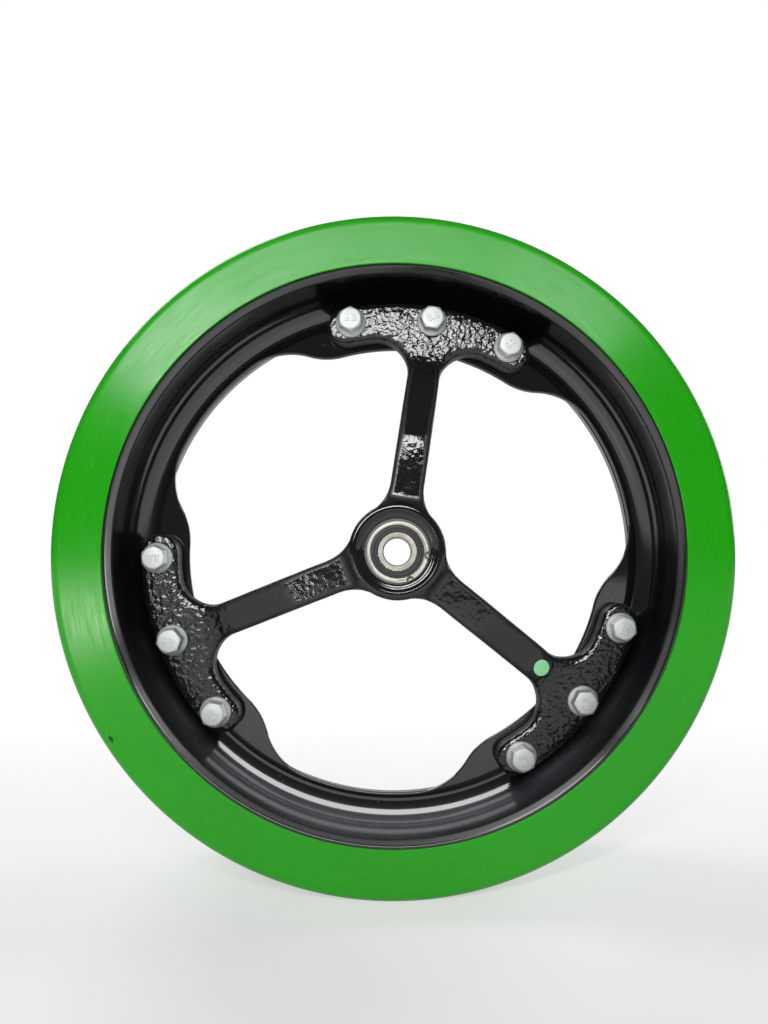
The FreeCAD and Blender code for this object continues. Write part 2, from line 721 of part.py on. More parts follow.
def main():
    pieces = [
        make_tyre(),
        make_rim_half("front_rim_half", -1, "front_rim_inset"),
        make_rim_half("rear_rim_half", 1, "rear_rim_inset"),
        make_spoke_hub(),
        make_fastener_ring("flange_bolts", make_single_bolt(), FOOT_FRONT, 1),
        make_fastener_ring("flange_nuts", make_single_nut(), "rim_web", -1),
        make_circlip(),
        make_outer_ring(),
        make_inner_ring(),
        make_seal("front_seal", -1),
        make_seal("rear_seal", 1),
        make_cage("front_cage", -1),
        make_cage("rear_cage", 1),
        *make_balls("front_ball", -1),
        *make_balls("rear_ball", 1),
    ]
    doc.recompute()
    check(pieces)
    os.makedirs("parts", exist_ok=True)
    for piece in pieces:
        piece.Shape.exportStep(f"parts/{piece.Label}.step")
        print(piece.Label, len(piece.Shape.Solids), round(piece.Shape.Volume, 2))


main()
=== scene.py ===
import math

import bmesh
import bpy
import numpy as np
from bpy.props import FloatProperty, FloatVectorProperty, PointerProperty
from mathutils import Matrix, Vector, noise
from mathutils.bvhtree import BVHTree


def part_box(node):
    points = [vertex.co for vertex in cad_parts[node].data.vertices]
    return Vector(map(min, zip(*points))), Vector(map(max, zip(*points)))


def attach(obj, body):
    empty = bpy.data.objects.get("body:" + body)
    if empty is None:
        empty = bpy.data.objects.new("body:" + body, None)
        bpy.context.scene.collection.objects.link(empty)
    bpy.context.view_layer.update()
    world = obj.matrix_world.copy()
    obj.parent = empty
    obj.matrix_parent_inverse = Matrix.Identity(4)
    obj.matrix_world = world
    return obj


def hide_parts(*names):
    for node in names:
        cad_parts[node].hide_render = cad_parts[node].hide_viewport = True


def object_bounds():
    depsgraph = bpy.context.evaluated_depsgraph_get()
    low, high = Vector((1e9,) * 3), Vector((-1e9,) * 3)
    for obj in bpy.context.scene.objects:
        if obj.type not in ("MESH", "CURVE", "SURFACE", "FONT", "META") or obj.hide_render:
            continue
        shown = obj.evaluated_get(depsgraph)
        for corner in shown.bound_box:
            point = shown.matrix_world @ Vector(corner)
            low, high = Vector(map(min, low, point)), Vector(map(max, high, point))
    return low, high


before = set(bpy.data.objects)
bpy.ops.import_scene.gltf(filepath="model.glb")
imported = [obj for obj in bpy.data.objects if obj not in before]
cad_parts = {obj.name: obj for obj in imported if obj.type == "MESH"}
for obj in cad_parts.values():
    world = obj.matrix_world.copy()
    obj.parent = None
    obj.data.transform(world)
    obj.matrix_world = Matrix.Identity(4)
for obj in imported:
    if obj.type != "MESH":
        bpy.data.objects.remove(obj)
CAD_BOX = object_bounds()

bl_info = {
    "name": "Planter depth wheel",
    "version": (1, 0, 0),
    "blender": (4, 5, 0),
    "location": "3D View > Sidebar > Depth Wheel",
    "description": "Dresses the packed depth wheel with turned, pressed, cast and plated surfaces",
    "category": "Object",
}

MM = 0.001
SPOKES = 3
THIRD = 2 * math.pi / SPOKES
BOLTS_PER_FOOT = 3
REARWARD = Vector((0.0, 1.0, 0.0))
WHITE = (1.0, 1.0, 1.0, 1.0)

# Steps round the axis of each turned or swept piece
TYRE_STEPS = 480
RIM_STEPS = 540
SEAT_STEPS = 144
SEAL_STEPS = 120
FASTENER_STEPS = 72

# Small nick in the tyre's front: its angle in radians, clockwise from the top, and its radius
NICK_ANGLE = -2.152
NICK_RADIUS = 0.1968

# How far the web's edge is undercut, and how much wider the rear half's window is
UNDERCUT = 1.4 * MM
REAR_WINDOW_MORE = 1.4 * MM
# Gap that keeps the two webs' backs from sharing a plane
WEB_GAP = 0.01 * MM

# Reach from the axis, half width and front of each spoke's flare at the hub, in millimetres
FLARE = ((25.5, 16.3, -41.9), (28.0, 14.3, -41.6), (29.5, 13.3, -40.6), (32.0, 11.9, -37.9),
         (32.8, 11.6, -37.1), (38.0, 10.5, -37.02), (44.0, 10.0, -37.0))
FLARE_BACK = -26.0
FLARE_CHAMFER_ACROSS = 1.6
FLARE_CHAMFER_DEEP = 1.2
BLEND_ROUNDS = 40
BLEND_PACE = 0.6

# Scales of the noise that shapes the casting's lumps
FINE_LUMPS = 390
WIDE_LUMPS = 120

# Radius and place of the turned ring round the bearing's recess, in millimetres
SEAT_RING = ((29.0, -41.36), (28.6, -42.31), (27.9, -42.61), (27.2, -42.66), (25.4, -42.66),
             (24.9, -42.58), (24.55, -42.26), (24.45, -41.86), (24.4, -41.3), (24.1, -41.2),
             (21.9, -41.2), (21.5, -41.1), (21.35, -40.8), (21.3, -40.2), (23.5, -40.2),
             (28.6, -40.5))

# Flanged hexagons: across flats, height, radius of the flange and of the flat top
BOLT_HEAD = (14 * MM, 10 * MM, 9.75 * MM, 6.45 * MM)
NUT_BODY = (15 * MM, 10 * MM, 10.5 * MM, 7.0 * MM)
BOLT_RADIUS = 5 * MM
THREAD_LENGTH = 10 * MM
NUT_BORE = 5.05 * MM

# Outline of a seal's face: share of its width and of its depth
SEAL_FACE = ((0.00, 0.85), (0.04, 1.0), (0.16, 1.0), (0.20, 0.55), (0.34, 0.50), (0.40, 0.85),
             (0.52, 0.95), (0.60, 0.62), (0.82, 0.62), (0.86, 0.95), (0.97, 0.95), (1.0, 0.8))
SEAL_INNER_RADIUS = 12.15 * MM

# How far the sticker's face and edge lie before the casting, and its back inside it
FILM_FACE = 0.12 * MM
FILM_EDGE = 0.02 * MM
FILM_BACK = 0.10 * MM

# Lamps: name, clock angle and tilt from the axis in degrees, length toward the axis, width
# round it, and radiance
TYRE_LAMPS = (
    ("ceiling_tube_1", -45, 26, 0.041, 0.220, 150),
    ("ceiling_tube_2", -25, 26, 0.028, 0.220, 150),
    ("ceiling_tube_3", -5, 26, 0.021, 0.220, 150),
    ("ceiling_tube_4", 12, 26, 0.017, 0.154, 150),
    ("ceiling_tube_5", 33, 26, 0.023, 0.266, 150),
    ("left_lamp", 260, 26, 0.036, 0.112, 150),
)
RIM_LAMPS = (("rim_panel", 8, 58, 0.80, 1.90, 7.2),)
CASTING_LAMPS = (
    ("soft_box", -23, 21, 0.36, 0.86, 16),
    ("top_strip", 5, 15, 0.034, 0.30, 26),
    ("left_strip", 249, 12.4, 0.034, 0.12, 26),
)
REAR_LAMPS = (
    ("rear_panel_left", -35, 122, 0.9, 0.9, 5),
    ("rear_panel_right", 70, 125, 0.9, 0.9, 5),
)
LAMP_COLOURS = {"left_lamp": (1.0, 1.0, 0.86)}
LAMP_DISTANCE = 1.4
REAR_LAMP_DISTANCE = 1.7
ROOM_FILL = 0.12
FLOOR_RADIUS = 12.0

CAMERA_PLACE = (-0.00721, -0.49485, -0.00994)
CAMERA_TURN = (math.radians(92.85), 0.0, math.radians(-1.73))
CAMERA_SHIFT = (-0.02355, 0.01824)
SENSOR_WIDTH = 36.0


# Sizes and colours a user would change


def length_prop(name, description, default):
    return FloatProperty(name=name, description=description, unit="LENGTH", default=default)


def angle_prop(name, description, degrees):
    return FloatProperty(name=name, description=description, subtype="ANGLE",
                         default=math.radians(degrees))


def colour_prop(name, description, default):
    return FloatVectorProperty(name=name, description=description, subtype="COLOR", size=3,
                               default=default, min=0, max=1)


class TyreSettings(bpy.types.PropertyGroup):
    """Solid polyurethane tyre."""

    outer_radius: length_prop("Outer radius", "Radius of the tread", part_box("tyre")[1].z)
    bond_radius: length_prop("Bond radius", "Radius where the tyre is bonded to the rim", 0.1725)
    width: length_prop("Width", "Width across the two flat sides", 0.1143)
    shoulder: length_prop("Shoulder", "Radius of the rounded shoulders", 0.006)
    colour: colour_prop("Colour", "Green of the polyurethane", (0.011, 0.300, 0.002))
    lathe_pitch: length_prop("Lathe pitch", "Spacing of the turning marks", 0.00045)


class RimSettings(bpy.types.PropertyGroup):
    """Two pressed half-rims, painted gloss black."""

    wall_radius: length_prop("Wall radius", "Inside radius of the wall", 0.1718)
    lip_radius: length_prop(
        "Lip radius", "Inside radius of the lip where it meets the wall", 0.1690)
    rear_lip_radius: length_prop(
        "Rear lip radius", "Inside radius of the rear half's straight lip", 0.1685)
    lip_flare: length_prop("Lip flare", "How much wider the lip is at its edge", 0.0018)
    lip_length: length_prop("Lip length", "Length of the lip along the axis", 0.0102)
    lip_round: length_prop("Lip round", "Radius of the lip's rounded edge", 0.0008)
    front_inset: length_prop(
        "Front inset", "How far the front lip lies inside the tyre's side", 0.0008)
    rear_inset: length_prop("Rear inset", "How far the rear lip lies inside the tyre's side", 0.011)
    web: length_prop("Web", "Thickness of each half-rim's web", 0.004)
    cove: length_prop("Cove", "Radius between the web and the wall", 0.013)
    edge_round: length_prop("Edge round", "Radius of the web's rolled inner edge", 0.0009)
    window_radius: length_prop("Window radius", "Radius of the web's edge in the windows", 0.156)
    lobe_radius: length_prop("Lobe radius", "Radius of the web's edge under the feet", 0.1352)
    lobe_half_angle: angle_prop("Lobe half angle", "Half the angle of each lobe", 23.9)
    wave_radius: length_prop(
        "Wave radius", "Radius of the two arcs that join a lobe to a window", 0.042)
    colour: colour_prop("Colour", "Black of the paint", (0.0045, 0.0047, 0.0052))


class SpiderSettings(bpy.types.PropertyGroup):
    """Cast three-spoke hub."""

    clock: angle_prop("Clock", "Angle of the first spoke, clockwise from the top", 8.6)
    skin: length_prop("Skin", "Size of the casting's surface facets", 0.0009)
    bump: length_prop("Bump", "Height of the lumps that the mould leaves", 0.00022)
    colour: colour_prop("Colour", "Black of the dipped casting", (0.0040, 0.0042, 0.0046))


class FastenerSettings(bpy.types.PropertyGroup):
    """Zinc-plated flange bolts and nuts."""

    circle_radius: length_prop("Bolt circle", "Radius of the bolt circle", 0.1524)
    step_angle: angle_prop("Step", "Angle between the bolts of a foot", 20)
    head_seat: length_prop("Head seat", "Place of the bolt heads' seat along the axis", -0.016)
    nut_seat: length_prop("Nut seat", "Place of the nuts' seat along the axis", 0.004)
    shank_length: length_prop("Shank length", "Length of the bolts under the head", 0.035)
    thread_pitch: length_prop("Thread pitch", "Pitch of the bolts' thread", 0.0015)
    turn_step: angle_prop("Turn step", "How much further each next bolt was turned", 23)
    colour: colour_prop("Colour", "Tint of the zinc", (0.58, 0.60, 0.60))


class BearingSettings(bpy.types.PropertyGroup):
    """Sealed ball bearing and its circlip."""

    steel: colour_prop("Steel", "Tint of the ground rings", (0.66, 0.64, 0.575))
    seal: colour_prop("Seal", "Colour of the rubber seals", (0.022, 0.022, 0.023))


class StickerSettings(bpy.types.PropertyGroup):
    """Small blank inspection sticker."""

    radius: length_prop("Radius", "Radius of the sticker", 0.0053)
    reach: length_prop("Reach", "Distance of the sticker from the wheel's axis", 0.118)
    angle: angle_prop("Angle", "Place of the sticker, clockwise from the top", 128.6)
    colour: colour_prop("Colour", "Green of the sticker", (0.27, 0.66, 0.36))


class StageSettings(bpy.types.PropertyGroup):
    """Floor, lamps and camera."""

    floor_colour: colour_prop("Floor", "Colour of the floor", (0.86, 0.86, 0.86))
    lamp_level: FloatProperty(
        name="Lamp level", description="Brightness of all lamps together", subtype="FACTOR",
        default=1.0, min=0, soft_max=2)
    lens: FloatProperty(
        name="Lens", description="Focal length in millimetres", unit="CAMERA", default=26.186)


# Small helpers for meshes


def link(obj):
    bpy.context.scene.collection.objects.link(obj)
    return obj


def polar(radius, angle, place):
    """Point at an angle clockwise from the top, seen from the front."""
    return radius * math.sin(angle), place, radius * math.cos(angle)


def spoke_axes(angle):
    """Directions along and across a spoke."""
    return Vector(polar(1.0, angle, 0.0)), Vector(polar(1.0, angle + math.pi / 2, 0.0))


def even_angles(steps):
    return [2 * math.pi * step / steps for step in range(steps)]


def arc(centre_radius, centre_place, radius, start, end, count):
    """Points of an arc in a half section; degrees from the outward direction to the rear."""
    turns = np.radians(np.linspace(start, end, count))
    return [(centre_radius + radius * math.cos(turn), centre_place + radius * math.sin(turn))
            for turn in turns]


def grid_faces(rows, columns):
    """Quads of a grid that closes on itself both ways."""
    faces = []
    for row in range(rows):
        after = (row + 1) % rows
        for column in range(columns):
            beside = (column + 1) % columns
            faces.append((row * columns + column, row * columns + beside,
                          after * columns + beside, after * columns + column))
    return faces


def make_piece(name, points, faces, material, sharp=None):
    """Make an object from points and faces, with its normals outward and shaded smooth."""
    mesh = bpy.data.meshes.new(name)
    mesh.from_pydata([tuple(point) for point in points], [], faces)
    shaper = bmesh.new()
    shaper.from_mesh(mesh)
    bmesh.ops.recalc_face_normals(shaper, faces=shaper.faces)
    shaper.to_mesh(mesh)
    shaper.free()
    mesh.shade_smooth()
    if sharp is not None:
        mesh.set_sharp_from_angle(angle=math.radians(sharp))
    mesh.materials.append(material)
    return link(bpy.data.objects.new(name, mesh))


def turned_piece(name, section, steps, material, sharp=None):
    """Turn a closed section of (radius, place) points about the wheel's axis."""
    points = [polar(radius, angle, place)
              for angle in even_angles(steps) for radius, place in section]
    return make_piece(name, points, grid_faces(steps, len(section)), material, sharp)


def join_parts(parts):
    """Join lists of points and faces into one list of each."""
    points = []
    faces = []
    for part_points, part_faces in parts:
        start = len(points)
        points.extend(part_points)
        faces.extend(tuple(start + index for index in face) for face in part_faces)
    return points, faces


def evaluated_mesh(obj):
    """Mesh of an object with its modifiers or curve settings applied; the object is removed."""
    depsgraph = bpy.context.evaluated_depsgraph_get()
    mesh = bpy.data.meshes.new_from_object(obj.evaluated_get(depsgraph))
    bpy.data.objects.remove(obj)
    return mesh


# Finishes


def rgba(colour, factor=1.0):
    return (*(min(part * factor, 1.0) for part in colour), 1.0)


class Nodes:
    """Short ways to add nodes to a material's or a world's tree."""

    def __init__(self, tree):
        self.tree = tree

    def put(self, value, socket):
        """Link a socket's value, or set a constant."""
        if isinstance(value, bpy.types.NodeSocket):
            self.tree.links.new(value, socket)
        else:
            socket.default_value = value

    def add(self, kind, *values, **settings):
        """Add a node, set its inputs in order, None to leave one, and return its outputs."""
        made = self.tree.nodes.new(kind)
        for setting, value in settings.items():
            setattr(made, setting, value)
        for value, socket in zip(values, made.inputs):
            if value is not None:
                self.put(value, socket)
        return made.outputs

    def math(self, operation, *values):
        return self.add("ShaderNodeMath", *values, operation=operation)[0]

    def product(self, first, *others):
        for other in others:
            first = self.math("MULTIPLY", first, other)
        return first

    def spread(self, value, low, high, to_low=0.0, to_high=1.0):
        """Map a range of a value to another range, clamped."""
        return self.add("ShaderNodeMapRange", value, low, high, to_low, to_high)[0]

    def split(self, vector):
        return self.add("ShaderNodeSeparateXYZ", vector)

    def combine(self, *parts):
        return self.add("ShaderNodeCombineXYZ", *parts)[0]

    def length(self, vector):
        return self.add("ShaderNodeVectorMath", vector, operation="LENGTH")["Value"]

    def ray_kinds(self):
        """Shares of the rays that show the background: camera rays, and mirrored or bent ones."""
        path = self.add("ShaderNodeLightPath")
        return (path["Is Camera Ray"],
                self.math("MAXIMUM", path["Is Glossy Ray"], path["Is Transmission Ray"]))


class Finish(Nodes):
    """A material, with constants set on its shader's own sockets."""

    def __init__(self, name, **constants):
        self.material = bpy.data.materials.new(name)
        self.material.use_nodes = True
        super().__init__(self.material.node_tree)
        self.shader = self.tree.nodes["Principled BSDF"]
        self.shade(**constants)

    def shade(self, **sources):
        """Put values on the shader's sockets and return the material."""
        for socket, source in sources.items():
            self.put(source, self.shader.inputs[socket.replace("_", " ")])
        return self.material

    def place(self):
        return self.add("ShaderNodeTexCoord")["Object"]

    def facing(self, axis):
        """One part of the normal in the piece's own frame."""
        return self.split(self.add("ShaderNodeTexCoord")["Normal"])[axis]

    def sideways(self):
        """1 on treads and edges, which face away from the axis; 0 on fronts and backs."""
        return self.spread(self.math("ABSOLUTE", self.facing("Y")), 0.70, 0.25)

    def attribute(self, name):
        return self.add("ShaderNodeAttribute", attribute_name=name)[0]

    def wheel(self):
        """Radius, angle and place along the axis of the shaded point."""
        place = self.place()
        flat = self.add("ShaderNodeVectorMath", place, (1.0, 0.0, 1.0), operation="MULTIPLY")[0]
        parts = self.split(place)
        return self.length(flat), self.math("ARCTAN2", parts["X"], parts["Z"]), parts["Y"]

    def noise(self, vector, scale, detail=2.0, roughness=0.5):
        return self.add("ShaderNodeTexNoise", vector, None, scale, detail, roughness)["Fac"]

    def wheel_noise(self, wheel, scales, detail=2.0, roughness=0.5):
        """Noise over radius, angle and place, each at its own scale."""
        parts = [self.math("MULTIPLY", part, scale) for part, scale in zip(wheel, scales)]
        return self.noise(self.combine(*parts), 1.0, detail, roughness)

    def between(self, share, low, high):
        """Map the usual span of a noise to a range."""
        return self.spread(share, 0.3, 0.7, low, high)

    def mix(self, share, first, second):
        unused = (None,) * 5
        return self.add("ShaderNodeMix", share, *unused, first, second, data_type="RGBA")[2]

    def tint(self, share, colour, low, high):
        """Colour that varies between two multiples of one colour."""
        return self.mix(share, rgba(colour, low), rgba(colour, high))

    def bump(self, height, strength, distance, under=None):
        made = self.tree.nodes.new("ShaderNodeBump")
        for name, value in (("Strength", strength), ("Distance", distance), ("Height", height),
                            ("Normal", under)):
            if value is not None:
                self.put(value, made.inputs[name])
        return made.outputs[0]


def green_polyurethane(settings):
    """Turned polyurethane: fine rings from the lathe, a few scuffs and one nick."""
    finish = Finish("green_polyurethane", Anisotropic=0.83, Anisotropic_Rotation=0.25,
                    Specular_IOR_Level=0.375)
    wheel = finish.wheel()
    radius, angle, place = wheel
    rings = 1.0 / settings.lathe_pitch
    marks = finish.wheel_noise(wheel, (rings, 3.0, rings), 3.0)
    broad = finish.wheel_noise(wheel, (900.0, 14.0, 900.0), 3.0, 0.6)
    cloud = finish.noise(finish.place(), 14.0, 3.0)
    scuffs = finish.wheel_noise(wheel, (900.0, 22.0, 300.0), 4.0, 0.6)
    scuffed = finish.mix(finish.spread(scuffs, 0.66, 0.74, 0.0, 0.45),
                         finish.tint(cloud, settings.colour, 0.90, 1.12), (0.16, 0.42, 0.14, 1.0))
    along = finish.math("MULTIPLY", finish.math("SUBTRACT", angle, NICK_ANGLE), NICK_RADIUS)
    inward = finish.math("MULTIPLY", finish.math("SUBTRACT", radius, NICK_RADIUS), 2.2)
    from_nick = finish.length(finish.combine(along, inward))
    nick = finish.product(finish.spread(place, 0.0, -0.04),
                          finish.spread(from_nick, 0.0026, 0.0018))
    turned = finish.spread(finish.math("ADD", marks, broad), 0.75, 1.25, 0.20, 0.295)
    return finish.shade(
        Base_Color=finish.mix(nick, scuffed, (0.010, 0.035, 0.008, 1.0)),
        Roughness=finish.math("MULTIPLY_ADD", finish.sideways(), 0.45, turned),
        Normal=finish.bump(broad, 0.5, 0.00005, finish.bump(marks, 0.30, 0.00003)),
        Tangent=finish.add("ShaderNodeTangent", direction_type="RADIAL", axis="Y")[0],
    )


def gloss_black_paint(settings):
    """Gloss paint over a pressing: faint orange peel, draw marks up the wall, dust and smudges, and
    a painted reflection on the wall.
    """
    finish = Finish("gloss_black_paint", Specular_IOR_Level=0.94)
    wheel = finish.wheel()
    radius, _, place = wheel
    where = finish.place()
    draw = finish.wheel_noise(wheel, (14.0, 210.0, 14.0))
    on_wall = finish.spread(radius, 0.160, 0.168)
    peel = finish.bump(finish.noise(where, 260.0, 1.0), 0.10, 0.00006)
    smudge = finish.noise(where, 16.0, 4.0, 0.6)
    specks = finish.add("ShaderNodeTexVoronoi", where, None, 240.0)["Distance"]
    dust = finish.product(finish.spread(specks, 0.14, 0.07),
                          finish.spread(finish.noise(where, 60.0), 0.50, 0.66))
    depth = finish.math("ABSOLUTE", place)
    dull_lip = finish.product(finish.spread(depth, 0.0450, 0.0475, 0.0, 0.30),
                              finish.spread(depth, 0.0548, 0.0556, 1.0, 0.0))
    # Painted reflection, partly dust: the wall's upward faces are coloured a lighter blue-grey. It
    # is strongest by the web, fades toward the lip and is streaked by the draw marks. It stands in
    # for the bright cove mirrored in the wall.
    film = finish.product(finish.spread(finish.facing("Z"), 0.25, 0.95),
                          finish.spread(depth, 0.011, 0.040, 1.0, 0.15),
                          finish.spread(draw, 0.30, 0.72, 0.7, 1.0), on_wall)
    clean = finish.mix(dust, rgba(settings.colour), (0.12, 0.12, 0.115, 1.0))
    return finish.shade(
        # Base colour: dust specks, and the painted reflection on the upward faces of the wall
        Base_Color=finish.mix(film, clean, (0.060, 0.064, 0.070, 1.0)),
        Roughness=finish.math("ADD", finish.spread(smudge, 0.35, 0.70, 0.04, 0.09),
                              finish.math("MULTIPLY_ADD", on_wall, 0.09, dull_lip)),
        Normal=finish.bump(draw, finish.product(on_wall, 0.24), 0.00012, peel),
    )


def black_casting(settings):
    """Dipped black casting: gloss over the lumps of a sand mould, duller on its edges."""
    finish = Finish("black_casting", Specular_IOR_Level=0.6)
    where = finish.place()
    coarse = finish.noise(where, 380.0, 0.6)
    height = finish.math("MULTIPLY_ADD", finish.noise(where, 1100.0), 0.25, coarse)
    strength = finish.spread(finish.attribute("roughcast"), 0.0, 1.0, 0.02, 0.70)
    sheen = finish.noise(where, 55.0, 3.0)
    dull = finish.math("MAXIMUM", finish.sideways(), finish.attribute("worn_edge"))
    return finish.shade(
        Base_Color=finish.tint(sheen, settings.colour, 0.7, 1.6),
        Roughness=finish.math("MULTIPLY_ADD", dull, 0.50, finish.between(sheen, 0.06, 0.11)),
        Normal=finish.bump(height, strength, 0.0007),
    )


def zinc_plate(settings):
    """Bright zinc: blue-white metal with a cloudy, slightly uneven passivation."""
    finish = Finish("zinc_plate", Metallic=1.0)
    where = finish.place()
    cloud = finish.noise(where, 190.0, 4.0, 0.6)
    return finish.shade(
        Base_Color=finish.tint(cloud, settings.colour, 0.88, 1.08),
        Roughness=finish.between(cloud, 0.60, 0.70),
        Normal=finish.bump(finish.noise(where, 2600.0), 0.25, 0.00005),
    )


def bearing_steel(settings):
    """Ground bearing steel with fine rings, darker on the inner ring."""
    finish = Finish("bearing_steel", Metallic=1.0)
    wheel = finish.wheel()
    rings = finish.wheel_noise(wheel, (7000.0, 2.0, 7000.0))
    cloud = finish.noise(finish.place(), 300.0, 3.0)
    tone = finish.wheel_noise(wheel, (1500.0, 0.6, 300.0))
    ground = finish.tint(finish.spread(wheel[0], 0.0128, 0.0118), settings.steel, 1.0, 0.68)
    return finish.shade(
        Base_Color=finish.mix(finish.spread(tone, 0.35, 0.62), rgba(settings.steel, 0.42), ground),
        Roughness=finish.between(cloud, 0.58, 0.68),
        Normal=finish.bump(rings, 0.20, 0.00003),
    )


def spring_steel():
    """Dark phosphated spring steel."""
    finish = Finish("spring_steel", Metallic=0.85)
    cloud = finish.noise(finish.place(), 500.0, 4.0, 0.6)
    return finish.shade(
        Base_Color=finish.mix(cloud, (0.045, 0.044, 0.042, 1.0), (0.105, 0.10, 0.095, 1.0)),
        Roughness=finish.between(cloud, 0.34, 0.5),
        Normal=finish.bump(cloud, 0.2, 0.0001),
    )


def seal_rubber(settings):
    """Moulded black rubber with fine concentric marks from its mould."""
    finish = Finish("seal_rubber", Specular_IOR_Level=0.4)
    rings = finish.wheel_noise(finish.wheel(), (4200.0, 1.5, 4200.0))
    grain = finish.noise(finish.place(), 2500.0)
    return finish.shade(
        Base_Color=finish.tint(grain, settings.seal, 0.8, 1.5),
        Roughness=finish.between(grain, 0.42, 0.58),
        Normal=finish.bump(rings, 0.3, 0.00008),
    )


def cage_nylon():
    """Glass-filled natural nylon."""
    finish = Finish("cage_nylon", Specular_IOR_Level=0.4)
    fibres = finish.noise(finish.place(), 1400.0, 4.0, 0.65)
    return finish.shade(
        Base_Color=finish.mix(fibres, (0.52, 0.47, 0.34, 1.0), (0.66, 0.61, 0.47, 1.0)),
        Roughness=finish.between(fibres, 0.45, 0.6),
        Normal=finish.bump(fibres, 0.15, 0.00005),
    )


def sticker_film(settings):
    """Pearly mint-green film."""
    finish = Finish("sticker_film", Specular_IOR_Level=0.5, Coat_Weight=0.4, Coat_Roughness=0.1)
    cloud = finish.noise(finish.place(), 420.0)
    return finish.shade(
        Base_Color=finish.tint(cloud, settings.colour, 0.86, 1.2),
        Roughness=finish.between(cloud, 0.25, 0.4),
        Normal=finish.bump(cloud, 0.1, 0.0001),
    )


# Tyre


def tyre_section(settings):
    """Closed section of the tyre: front side, tread, rear side and bore."""
    crown = settings.outer_radius
    bond = settings.bond_radius
    half = settings.width / 2
    shoulder = settings.shoulder
    edge = 0.5 * MM
    span = crown - shoulder - bond - edge
    front = arc(bond + edge, -half + edge, edge, 180, 270, 5)
    front += [(bond + edge + span * share, -half) for share in (0.02, 0.2, 0.4, 0.6, 0.8, 0.98)]
    front += arc(crown - shoulder, -half + shoulder, shoulder, 270, 360, 12)
    tread = [(crown, place * half) for place in (-0.85, -0.4, 0.0, 0.4, 0.85)]
    rear = [(radius, -place) for radius, place in reversed(front)]
    bore = [(bond, place * half) for place in (0.95, 0.5, 0.0, -0.5, -0.95)]
    return front + tread + rear + bore


class TurnTyre(bpy.types.Operator):
    """Turn the solid polyurethane tyre"""

    bl_idname = "depth_wheel.turn_tyre"
    bl_label = "Turn the tyre"

    def execute(self, context):
        settings = context.scene.depth_wheel_tyre
        green = green_polyurethane(settings)
        tyre = turned_piece("tyre_ring", tyre_section(settings), TYRE_STEPS, green)
        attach(tyre, "wheel")
        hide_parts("tyre")
        return {"FINISHED"}


# Half-rims


def window_edge(rim, clock, angles):
    """Radius of the web's wavy inner edge at each angle."""
    lobe_reach = rim.lobe_radius + rim.wave_radius
    window_reach = rim.window_radius - rim.wave_radius
    swing = math.acos((lobe_reach ** 2 + window_reach ** 2 - 4 * rim.wave_radius ** 2)
                      / (2 * lobe_reach * window_reach))
    lobe_centre = np.array((lobe_reach, 0.0))
    window_centre = window_reach * np.array((math.cos(swing), math.sin(swing)))
    toward = np.arctan2(*(window_centre - lobe_centre)[::-1])

    def wave(centre, start, end):
        turns = np.linspace(start, end, 60)
        return centre[:, None] + rim.wave_radius * np.array([np.cos(turns), np.sin(turns)])

    curve = np.hstack([wave(lobe_centre, math.pi, toward),
                       wave(window_centre, toward - math.pi, swing)])
    offsets = rim.lobe_half_angle + np.arctan2(curve[1], curve[0])
    from_spoke = np.abs((angles - clock + THIRD / 2) % THIRD - THIRD / 2)
    edge = np.interp(from_spoke, offsets, np.hypot(curve[0], curve[1]))
    edge[from_spoke <= rim.lobe_half_angle] = rim.lobe_radius
    edge[from_spoke >= rim.lobe_half_angle + swing] = rim.window_radius
    return edge


def rim_section(rim, tyre, inset, lip_radius, flare):
    """Half section of the front half-rim: points that follow the wavy edge, then fixed points."""
    lip = -(tyre.width / 2 - inset)
    face = -rim.web
    turn = rim.edge_round
    seam = 0.4 * MM
    follow = arc(seam + UNDERCUT, -seam, seam, 90, 165, 4)
    follow += arc(turn, face + turn, turn, 165, 270, 9)
    wall = rim.wall_radius
    cove_start = wall - rim.cove
    fixed = [(cove_start + rim.cove * math.sin(alpha), face - rim.cove * (1 - math.cos(alpha)))
             for alpha in np.radians(np.linspace(0, 90, 15))]
    wall_start = face - rim.cove
    wall_end = lip + rim.lip_length
    fixed += [(wall, wall_start + (wall_end - wall_start) * share)
              for share in (0.05, 0.35, 0.7, 0.95)]
    step = wall - lip_radius
    ease = 0.3 * MM
    fixed += [(wall, wall_end + ease), (wall - 0.2 * step, wall_end),
              (lip_radius + 0.2 * step, wall_end - 0.8 * step),
              (lip_radius, wall_end - step - ease)]
    fixed += [(lip_radius + flare * (1 - share), lip + rim.lip_length * share)
              for share in (0.7, 0.5, 0.25, 0.12)]
    rolled = rim.lip_round
    fixed += arc(lip_radius + flare + rolled, lip + rolled, rolled, 180, 270, 8)
    outer = tyre.bond_radius
    fixed += [(outer - 0.5 * MM, lip), (outer - 0.15 * MM, lip + 0.06 * MM), (outer, lip + ease)]
    fixed += [(outer, lip * share) for share in (0.97, 0.6, 0.3, 0.01)]
    fixed += [(outer - 0.5 * MM, -WEB_GAP), (cove_start, -WEB_GAP)]
    return follow, fixed, cove_start


